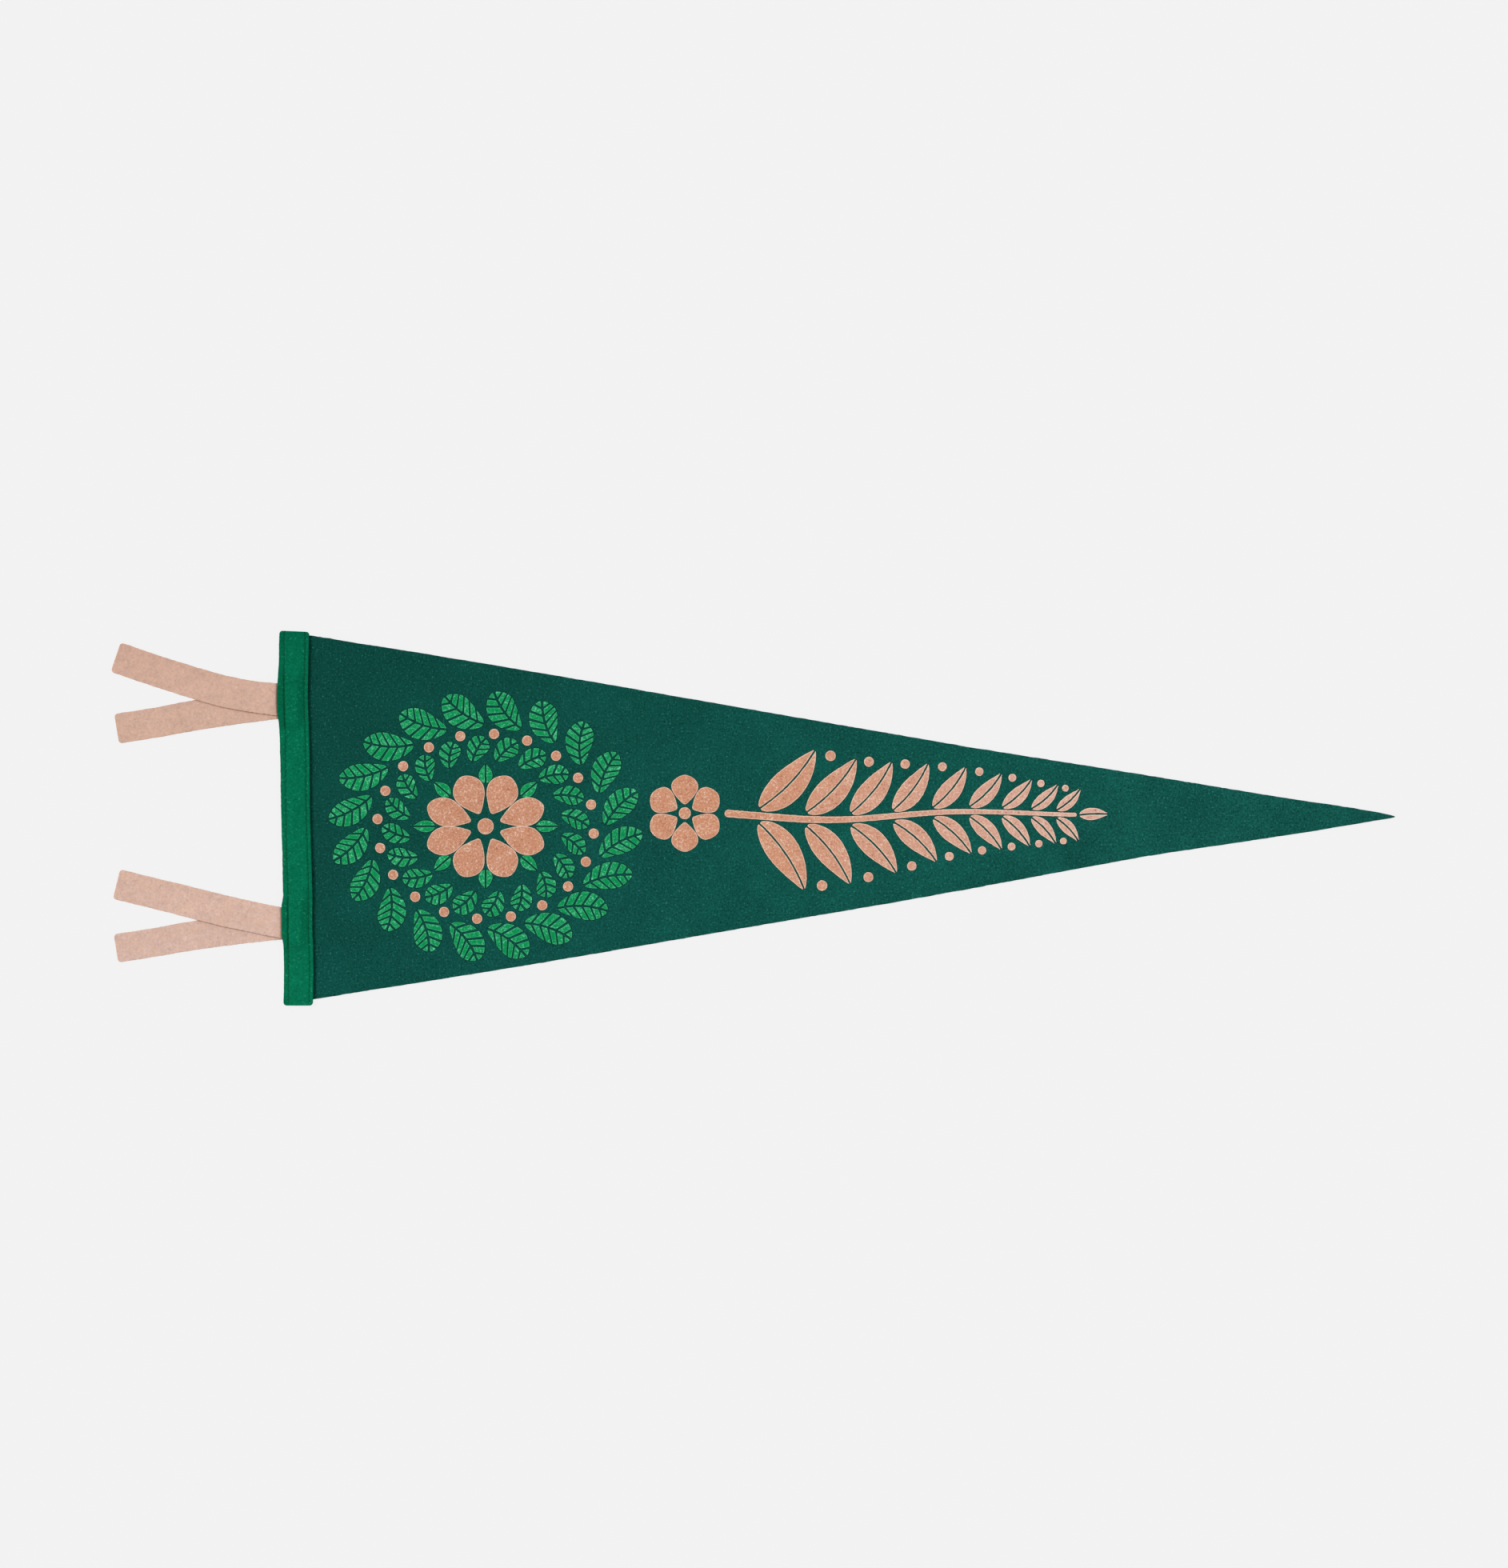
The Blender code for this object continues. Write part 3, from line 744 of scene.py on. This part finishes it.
def makeTie(name, felt):
    strip = ties["strips"][name]
    upper = tailTable(strip["along"], strip["upperMiddle"], strip["upperWide"])
    lower = tailTable(strip["lowerAlong"], strip["lowerMiddle"], strip["lowerWide"])

    def lowerUnderside(x, y):
        return onCloth * (1.0 - ease((clothLeft(y) - ties["clearOfEdge"] - x) / ties["dropFromCloth"]))

    def upperUnderside(x, y):
        middle, slope, wide = tailAt(lower, x)
        edge = middle + wide / 2 * math.hypot(1.0, slope)
        past = (y - edge - ties["clearOfEdge"]) / ties["dropFromTail"]
        return lowerUnderside(x, y) + tailStep * (1.0 - ease(past))

    def spotsAlong(tail, isUpper):
        start, end = tail["along"][0], tail["along"][-1]
        cosine = math.cos(math.atan(tailAt(tail, start)[1]))
        places = [start + ties["corner"] * share * cosine for share in (0.0, 0.03, 0.12, 0.3, 0.6)]
        places += list(np.linspace(start + ties["corner"] * cosine, end, ties["stepsAlong"] + 1))
        spots = []
        for x in places:
            middle, slope, wide = tailAt(tail, x)
            fromEnd = (x - start) / cosine
            spots.append({"x": x, "y": middle, "angle": math.atan(slope), "wide": wide,
                          "fromEnd": fromEnd, "isUpper": isUpper, "turn": None})
        return spots

    fold = []
    for step in range(1, ties["stepsRoundFold"]):
        fold.append({"x": strip["along"][-1], "y": strip["upperMiddle"][-1], "angle": 0.0,
                     "wide": strip["upperWide"][-1], "fromEnd": 50.0, "isUpper": False,
                     "turn": math.pi * step / ties["stepsRoundFold"]})
    spots = spotsAlong(upper, True) + fold + spotsAlong(lower, False)[::-1]

    def place(row, column, layer):
        # layer 0 is the face inside the fold, and layer 1 the face outside it
        spot = spots[row]
        distances = placesAcross(spot["wide"], ties["edgeRound"], ties["stepsAcross"])
        distance = distances[column]
        fromSide = min(distance, spot["wide"] - distance)
        drop = roundDrop(min(fromSide, spot["fromEnd"]), ties["edgeRound"])
        corner = 2.0 * roundDrop(spot["fromEnd"], ties["corner"]) / spot["wide"]
        side = (distance - spot["wide"] / 2) * (1.0 - corner)
        wander = waver(spot["x"], spot["y"], 1.7, 51) + waver(spot["x"], column, 6.0, 53)
        side += ties["edgeWander"] * wander * (1.0 - ease(fromSide / 2.0))
        x = spot["x"] - math.sin(spot["angle"]) * side
        y = spot["y"] + math.cos(spot["angle"]) * side
        if spot["turn"] is not None:
            radius = ties["gap"] / 2 + (drop if layer == 0 else ties["thick"] - drop)
            x += radius * math.sin(spot["turn"])
            z = onCloth + ties["thick"] + ties["gap"] / 2 + radius * math.cos(spot["turn"])
            # the fold lies under the heading and gets full painted shade
            return x, y, z, 1.0
        underside = upperUnderside(x, y) if spot["isUpper"] else lowerUnderside(x, y)
        # painted shade where the tie runs under the heading's left edge, and on the lower tail along
        # the upper tail's edge
        paintedShade = ease((x - headingSides(y)[0] + ties["paintedShadeReach"]) / ties["paintedShadeReach"])
        if not spot["isUpper"]:
            middle, slope, wide = tailAt(upper, x)
            underEdge = abs(y - middle + wide / 2 * math.hypot(1.0, slope))
            shade = 1.0 - ease(underEdge / ties["underEdgeHalfWide"])
            paintedShade = max(paintedShade, ties["underEdgeShade"] * shade)
        if (layer == 1) != spot["isUpper"]:
            return x, y, underside + drop, paintedShade
        lump = sum(high * waver(x, y, size, 71 + size) for size, high in ties["lumps"])
        lump *= ease((ties["lumpsUntil"] - x) / ties["lumpsOver"])
        return x, y, underside + ties["thick"] + lump - drop, paintedShade

    across = len(placesAcross(18.0, ties["edgeRound"], ties["stepsAcross"])) - 1
    piece = bentSheet(name, len(spots) - 1, across, place, felt)
    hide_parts(strip["replaces"])
    return piece


def spunThread():
    # Spun polyester sewing thread, two plies: a dull green line with a little gloss on each stitch.
    # The plies turn once in 0.9 mm and show as slanting shade.
    material, shader = startMaterial(
        "spunPolyesterThread", {"Roughness": 0.6, "Specular IOR Level": 0.12})
    tree = material.node_tree
    place = addNode(tree, "ShaderNodeTexCoord").outputs["Object"]
    slanted = addNode(
        tree, "ShaderNodeMapping", values={"Rotation": (0.0, 0.0, 0.6)}, links={"Vector": place})
    plies = addNode(
        tree, "ShaderNodeTexWave", {"bands_direction": "Y"},
        {"Scale": 1000 / seam["plyTurn"] / 6.28, "Distortion": 0.6}, {"Vector": slanted.outputs[0]})
    tone = setStops(
        addNode(tree, "ShaderNodeValToRGB", links={0: plies.outputs["Fac"]}),
        ((0.0, seam["threadShade"]), (1.0, seam["thread"])))
    tree.links.new(tone.outputs[0], shader.inputs["Base Color"])
    raised = addNode(
        tree, "ShaderNodeBump", values={"Strength": 0.5, "Distance": 0.1 * mm},
        links={"Height": plies.outputs["Fac"]})
    tree.links.new(raised.outputs[0], shader.inputs["Normal"])
    return material


def makeStitches(name, height, turn, thread):
    # one short bowed length of thread between each two needle holes, its ends drawn into them;
    # turn is 1 on top and -1 underneath
    shape = bmesh.new()
    for places in seamRows:
        for (x0, y0), (x1, y1) in zip(places, places[1:]):
            length = math.hypot(x1 - x0, y1 - y0) * seam["lengthShare"]
            made = bmesh.ops.create_uvsphere(shape, u_segments=6, v_segments=7, radius=0.5)["verts"]
            bmesh.ops.scale(shape, verts=made, vec=(seam["wide"], seam["wide"], length))
            lean = math.atan2(x1 - x0, y1 - y0)
            midX, midY = (x0 + x1) / 2, (y0 + y1) / 2
            for vert in made:
                across, along, off = vert.co.x, vert.co.z, vert.co.y
                share = abs(along) / (length / 2)
                across *= 1.0 - seam["narrowing"] * share
                bow = turn * (seam["rise"] - seam["endDrop"] * share ** 3)
                x = midX + across * math.cos(lean) + along * math.sin(lean)
                y = midY + along * math.cos(lean) - across * math.sin(lean)
                vert.co = (x * mm, y * mm, (height(x, y) + bow - off) * mm)
    piece = addPiece(name, shape, thread, 80)
    return piece


# print: a raised flock design of generic leaves, flowers and berries in two colours

flock = {
    "high": 0.20,
    "sunk": 0.10,
    "rim": 0.5,                # a band just inside each outline, painted paler as a highlight
    "wander": 0.14,            # how far the outline strays
    "rowStep": 1.0,
    "peachFlank": 0.45,        # width of the sunk line round each shape, painted dark as shade
    "greenFlank": 0.6,
    "midrib": 0.55,            # half of the gap along a plain leaf's middle
    "veinGap": 1.45,
    "veinLean": 0.62,          # side veins run forward by this much for each step outwards
    "patch": 7.0,
    "patchShare": 0.35,
    "runFrom": -260,           # where the first and last tones of an ink lie along X
    "runTo": 215,
}

medallion = {
    "centre": (-164.5, -5.0),
    "stretch": 1.17,           # wider than tall
    "heart": 5.0,
    "petals": 8, "petalFrom": 8.5, "petalTo": 33.0, "petalHalf": 8.5,
    "sepalFrom": 26.5, "sepalTo": 38.0, "sepalHalf": 3.6,
    "leaves": 20,              # in each of the two rings
    "innerFrom": 39.5, "innerTo": 54.0, "innerHalf": 5.6, "innerSwirl": 0.18, "innerBow": 1.4,
    "berryAt": 57.0, "berryBack": 0.25, "berryRadius": 3.1,
    "outerFrom": 62.6, "outerTo": 82.6, "outerHalf": 7.9, "outerSwirl": 0.26, "outerBow": 2.4,
}

branch = {
    "flower": (-42.0, 3.0),
    "heart": 3.7,
    "petals": 6, "petalFrom": 5.6, "petalTo": 23.6, "petalHalf": 8.3,
    "stem": ((-17.5, 3.0), (45.0, -1.0), (125.0, 4.0), (199.0, 2.0)),
    "stemThick": 4.6,
    "pairs": (2.0, 31.0, 58.5, 84.5, 109.0, 131.5, 151.5, 169.5, 185.0),
    "leafHalf": 0.197,         # half a leaf's width and its bow, as shares of its length
    "leafBow": 0.06,
    "leafLong": (50.0, 19.0),  # this and the next two are for the first and the last pair
    "leafAngle": (51, 44),     # degrees off the stem
    "leafClear": (4.4, 2.6),   # off the stem's middle line
    "berryRadius": 3.2, "berryTaper": 0.16,
    "endLeaf": (1.5, 19.0, 3.8, 0.4),      # start and end past the stem, half width and bow
}


def bowedLine(start, end, bend):
    # place and heading at each share of a line that bows to its left by bend, and its length
    (x0, y0), (x1, y1) = start, end
    length = math.hypot(x1 - x0, y1 - y0)
    ux, uy = (x1 - x0) / length, (y1 - y0) / length

    def at(t):
        off = 4.0 * bend * t * (1.0 - t)
        slope = 4.0 * bend * (1.0 - 2.0 * t) / length
        size = math.hypot(1.0, slope)
        return (x0 + ux * t * length - uy * off, y0 + uy * t * length + ux * off,
                (ux - uy * slope) / size, (uy + ux * slope) / size)

    return at, length


def addBlade(shape, at, span, steps, low, high, flank, seed, lean=0.0):
    # a raised strip of print along a line, from low(t) to high(t) on its left side, with dark
    # sloping flanks; lean slants its ends forward away from the line
    blade = bmesh.new()
    reach = blade.verts.layers.float.new("fromEdge")
    first, last = span
    startX, startY = at(first)[:2]
    endX, endY = at(last)[:2]
    for vert in addBlock(blade, steps + 2, 7):
        row, column, layer = round(vert.co.x), round(vert.co.y), round(vert.co.z)
        step = min(max(row - 1, 0), steps)
        t = first + (last - first) * 0.5 * (1.0 - math.cos(math.pi * step / steps))
        x, y, ux, uy = at(t)
        fromEnds = min(math.hypot(x - startX, y - startY), math.hypot(x - endX, y - endY))
        inner, outer = low(t), high(t)
        inner += flock["wander"] * waver(x * 1.3, y * 1.3 + seed * 17, 1.5, 3)
        outer += flock["wander"] * waver(x * 1.3 + seed * 11, y * 1.3, 1.5, 5)
        outer = max(outer, inner + 0.3)
        wide = outer - inner
        rim = min(flock["rim"], wide * 0.3)
        third = rim + (wide - 2 * rim) * 0.36
        columns = (-flank, 0.0, rim, third, wide - third, wide - rim, wide, wide + flank)
        inside = columns[column]
        fromEdge = min(inside, wide - inside, fromEnds)
        if row in (0, steps + 2):
            fromEdge = -flank
            pushed = -flank if row == 0 else flank
            x, y = x + ux * pushed, y + uy * pushed
        off = inner + inside
        slant = lean * abs(off)
        x, y = x - uy * off + ux * slant, y + ux * off + uy * slant
        top = clothTop(x, y)
        if layer == 0:
            z = top - flock["sunk"]
        else:
            z = top - 0.03 + (flock["high"] + 0.03) * ease((fromEdge + flank) / (flank + 0.4))
            z += 0.025 * waver(x, y, 1.6, 81)
        vert.co = (x * mm, y * mm, z * mm)
        vert[reach] = fromEdge
    mesh = bpy.data.meshes.new("blade")
    blade.to_mesh(mesh)
    blade.free()
    shape.from_mesh(mesh)
    bpy.data.meshes.remove(mesh)


def addLeaf(shape, start, end, half, bend, flank, veins=1, seed=1):
    # a leaf in two halves, each parted by side veins, with the cloth showing between them
    at, length = bowedLine(start, end, bend)
    slit = 0.5 * flock["veinGap"] if veins > 1 else flock["midrib"]
    lean = flock["veinLean"] if veins > 1 else 0.0

    def outline(t):
        return half * math.sin(math.pi * min(max(t, 0.0) ** 0.8, 1.0)) ** 0.75

    for side in (1, -1):
        def low(t, side=side):
            return slit if side == 1 else -max(outline(t), slit + 0.35)

        def high(t, side=side):
            return max(outline(t), slit + 0.35) if side == 1 else -slit

        gap = 0.5 * flock["veinGap"] / length if veins > 1 else 0.0
        ends = 0.03 if veins > 1 else 0.015
        for part in range(veins):
            first = max(part / veins + gap, ends)
            last = min((part + 1) / veins - gap, 1.0 - ends)
            steps = max(4, round((last - first) * length / flock["rowStep"]))
            addBlade(shape, at, (first, last), steps, low, high, flank, seed * 7 + part + side, lean)


def addPetal(shape, start, end, half, flank, seed=1):
    # a broad rounded petal, widest near its far end
    at, length = bowedLine(start, end, 0.0)

    def wide(t):
        return max(0.45, half * math.sin(math.pi * (0.02 + 0.975 * t) ** 1.4) ** 0.6)

    steps = round(length / flock["rowStep"])
    addBlade(shape, at, (0.0, 1.0), steps, lambda t: -wide(t), wide, flank, seed)


def addDot(shape, centre, radius, flank, seed=1):
    x, y = centre
    at, length = bowedLine((x - radius, y), (x + radius, y), 0.0)

    def wide(t):
        return radius * math.sqrt(max(0.0, 1.0 - (2.0 * t - 1.0) ** 2))

    # it starts and stops just inside the circle, where that is already wider than nothing
    steps = max(10, round(length))
    addBlade(shape, at, (0.012, 0.988), steps, lambda t: -wide(t), wide, flank, seed)


def addStem(shape, points, thick, flank, seed=1):
    # one smooth stem through a few points, thinner towards its end
    xs = [point[0] for point in points]
    heights = [point[1] for point in points]
    table = {"along": xs, "middle": heights, "wide": [1.0] * len(xs),
             "slopes": [float(slope) for slope in np.gradient(heights, xs)]}

    def at(t):
        x = xs[0] + (xs[-1] - xs[0]) * t
        y, slope, _ = tailAt(table, x)
        size = math.hypot(1.0, slope)
        return x, y, 1.0 / size, slope / size

    def half(t):
        # round at both ends, half as thick at the far one
        fromEnd = min(t, 1.0 - t) * (xs[-1] - xs[0])
        thin = thick / 2 * (1.0 - 0.5 * t)
        return max(0.3, thin * math.sqrt(1.0 - (1.0 - min(fromEnd / thin, 1.0)) ** 2))

    steps = round((xs[-1] - xs[0]) / flock["rowStep"])
    addBlade(shape, at, (0.0, 1.0), steps, lambda t: -half(t), half, flank, seed)
    return table


def ringPlace(angle, distance):
    x, y = medallion["centre"]
    return x + medallion["stretch"] * distance * math.cos(angle), y + distance * math.sin(angle)


def ringWidth(angle):
    # the stretched ring leaves its leaves more room at the top and bottom than at the sides
    return math.hypot(medallion["stretch"] * math.sin(angle), math.cos(angle))


def drawMedallion(peach, green):
    plan = medallion
    peachFlank, greenFlank = flock["peachFlank"], flock["greenFlank"]
    addDot(peach, plan["centre"], plan["heart"], peachFlank, seed=3)
    for index in range(plan["petals"]):
        angle = 2 * math.pi * (index + 0.5) / plan["petals"]
        addPetal(
            peach, ringPlace(angle, plan["petalFrom"]), ringPlace(angle, plan["petalTo"]),
            plan["petalHalf"] * ringWidth(angle), peachFlank, seed=index)
        gap = 2 * math.pi * index / plan["petals"]
        addLeaf(
            green, ringPlace(gap, plan["sepalFrom"]), ringPlace(gap, plan["sepalTo"]),
            plan["sepalHalf"] * ringWidth(gap), 0.0, greenFlank, seed=30 + index)
    step = 2 * math.pi / plan["leaves"]
    for index in range(plan["leaves"]):
        angle = index * step
        start = ringPlace(angle + plan["innerSwirl"], plan["innerFrom"])
        half = plan["innerHalf"] * ringWidth(angle)
        addLeaf(
            green, start, ringPlace(angle, plan["innerTo"]), half, plan["innerBow"], greenFlank,
            veins=4, seed=50 + index)
        berry = ringPlace(angle - plan["berryBack"] * step, plan["berryAt"])
        addDot(peach, berry, plan["berryRadius"], peachFlank, seed=index)
        end = ringPlace(angle + plan["outerSwirl"], plan["outerTo"])
        half = plan["outerHalf"] * ringWidth(angle + 0.12)     # as at the leaf's middle
        addLeaf(
            green, ringPlace(angle, plan["outerFrom"]), end, half, plan["outerBow"], greenFlank,
            veins=6, seed=80 + index)


def drawBranch(peach):
    flank = flock["peachFlank"]
    flowerX, flowerY = branch["flower"]
    for index in range(branch["petals"]):
        angle = 2 * math.pi * (index + 0.5) / branch["petals"]
        inner, outer = [
            (flowerX + reach * math.cos(angle), flowerY + reach * math.sin(angle))
            for reach in (branch["petalFrom"], branch["petalTo"])]
        addPetal(peach, inner, outer, branch["petalHalf"], flank, seed=40 + index)
    addDot(peach, branch["flower"], branch["heart"], flank, seed=47)
    stem = addStem(peach, branch["stem"], branch["stemThick"], flank, seed=48)
    first, last = branch["pairs"][0], branch["pairs"][-1]
    tips = {1: [], -1: []}
    for index, x in enumerate(branch["pairs"]):
        share = (x - first) / (last - first)
        length, lean, clear = [
            branch[name][0] + (branch[name][1] - branch[name][0]) * share
            for name in ("leafLong", "leafAngle", "leafClear")]
        y, slope, _ = tailAt(stem, x)
        for side in (1, -1):
            angle = math.atan(slope) + side * math.radians(lean)
            start = (x + 2.4 * math.cos(angle), y + side * clear)
            end = (start[0] + length * math.cos(angle), start[1] + length * math.sin(angle))
            addLeaf(
                peach, start, end, length * branch["leafHalf"], -side * length * branch["leafBow"],
                flank, seed=160 + index * 2 + side)
            tips[side].append(end)
    for side in (1, -1):
        for index, ((x0, y0), (x1, y1)) in enumerate(zip(tips[side], tips[side][1:])):
            radius = branch["berryRadius"] - branch["berryTaper"] * index
            centre = ((x0 + x1) / 2 - radius, (y0 + y1) / 2 - side * 0.3 * radius)
            addDot(peach, centre, radius, flank, seed=200 + index)
    tipX, tipY = branch["stem"][-1]
    start, end, half, bow = branch["endLeaf"]
    addLeaf(peach, (tipX + start, tipY), (tipX + end, tipY + 0.5), half, bow, flank, seed=99)


def flockPrint(name, ink):
    # Flock: short fibres stood in glue through a screen, so a matt grainy face with loose pale and dark
    # specks, a paler rim just inside each outline that is a painted highlight, and a dark sunk line
    # round each shape that is painted shade. The fibres are 0.5 mm long and finer than a pixel, so
    # grains are drawn 0.7 to 2 mm across.
    material, shader = startMaterial(name, {
        "Roughness": 0.9, "Specular IOR Level": 0.06, "Sheen Weight": 0.04, "Sheen Roughness": 0.5,
        "Sheen Tint": hexColour(ink["pale"])})
    tree = material.node_tree
    place = addNode(tree, "ShaderNodeTexCoord").outputs["Object"]
    apart = addNode(tree, "ShaderNodeSeparateXYZ", links={0: place})
    run = addNode(
        tree, "ShaderNodeMapRange",
        values={"From Min": flock["runFrom"] * mm, "From Max": flock["runTo"] * mm},
        links={"Value": apart.outputs["X"]})
    ground = setStops(addNode(tree, "ShaderNodeValToRGB", links={0: run.outputs[0]}), ink["run"])
    grains = addNode(
        tree, "ShaderNodeTexNoise",
        values={"Scale": 1000 / ink["grain"], "Detail": 2.0, "Roughness": 0.7},
        links={"Vector": place})
    patches = addNode(
        tree, "ShaderNodeTexNoise", values={"Scale": 1000 / flock["patch"], "Detail": 2.0},
        links={"Vector": place})
    mixed = addNode(
        tree, "ShaderNodeMath", {"operation": "MULTIPLY_ADD"}, {1: flock["patchShare"]},
        {0: patches.outputs["Fac"], 2: grains.outputs["Fac"]}).outputs[0]
    specks = addNode(
        tree, "ShaderNodeTexNoise",
        values={"Scale": 1000 / ink["speck"], "Detail": 1.0, "Roughness": 0.5, "Distortion": 1.2},
        links={"Vector": place}).outputs["Fac"]
    fromEdge = addNode(tree, "ShaderNodeAttribute", {"attribute_name": "fromEdge"}).outputs["Fac"]

    # tones laid one over another: dark and pale grain, pale specks, the pale rim that is a painted
    # highlight, the dark line that is painted shade on the sunk flank; each has what it is read from,
    # how it fades in, where it starts and is full, its share, its tone
    speckFull = ink["speckFrom"] + 0.12
    layers = (
        (mixed, "LINEAR", 0.62, 0.40, ink["darkShare"], ink["dark"]),
        (mixed, "LINEAR", 0.72, 0.98, ink["paleShare"], ink["pale"]),
        (specks, "SMOOTHSTEP", ink["speckFrom"], speckFull, ink["speckShare"], ink["pale"]),
        # painted highlight on the rim
        (fromEdge, "LINEAR", 0.62, 0.30, ink["rimHighlightShare"], ink["pale"]),
        # painted shade on the sunk flank
        (fromEdge, "LINEAR", 0.05, -0.10, 1.0, ink["line"]),
    )
    surface = ground.outputs[0]
    for source, fade, start, full, share, tone in layers:
        mask = addNode(
            tree, "ShaderNodeMapRange", {"interpolation_type": fade},
            {"From Min": start, "From Max": full, "To Max": share}, {"Value": source})
        surface = addNode(
            tree, "ShaderNodeMix", {"data_type": "RGBA"}, {7: hexColour(tone)},
            {0: mask.outputs[0], 6: surface}).outputs[2]
    tree.links.new(surface, shader.inputs["Base Color"])
    pile = addNode(
        tree, "ShaderNodeBump", values={"Strength": 0.5, "Distance": 0.3 * mm},
        links={"Height": mixed})
    tree.links.new(pile.outputs[0], shader.inputs["Normal"])
    return material


inks = {
    "peach": {
        "run": ((0.0, "c4896d"), (0.42, "cb8e6f"), (0.55, "cd8f6f"), (0.8, "d39e88"), (1.0, "d9ab9a")),
        "grain": 1.4, "dark": "945c48", "darkShare": 0.85, "pale": "f0d8c4", "paleShare": 1.0,
        "speck": 1.3, "speckFrom": 0.60, "speckShare": 0.5, "rimHighlightShare": 0.5, "line": "052a24",
    },
    "green": {
        "run": ((0.0, "048e50"), (1.0, "068a4e")),
        "grain": 1.4, "dark": "007a40", "darkShare": 0.9, "pale": "6cd6a6", "paleShare": 1.0,
        "speck": 1.6, "speckFrom": 0.60, "speckShare": 0.75, "rimHighlightShare": 0.15, "line": "06352d",
    },
}


def makePrint():
    peach, green = bmesh.new(), bmesh.new()
    for shape in (peach, green):
        shape.verts.layers.float.new("fromEdge")
    drawMedallion(peach, green)
    drawBranch(peach)
    pieces = []
    for name, shape in (("peach", peach), ("green", green)):
        title = name.capitalize()
        piece = addPiece("print" + title, shape, flockPrint("flock" + title, inks[name]), 60)
        pieces.append(piece)
    return pieces


pennantCloth = makeCloth()
headingStrip = makeHeading()
tieFelt = pressedFelt("pressedFeltPeach", ties["felt"])
for tieName in ties["strips"]:
    makeTie(tieName, tieFelt)
thread = spunThread()
topStitches = makeStitches("topStitches", headingTop, 1.0, thread)
underZ = cloth["underTrough"] - seam["belowTrough"]
underStitches = makeStitches("underStitches", lambda x, y: underZ, -1.0, thread)
printPieces = makePrint()
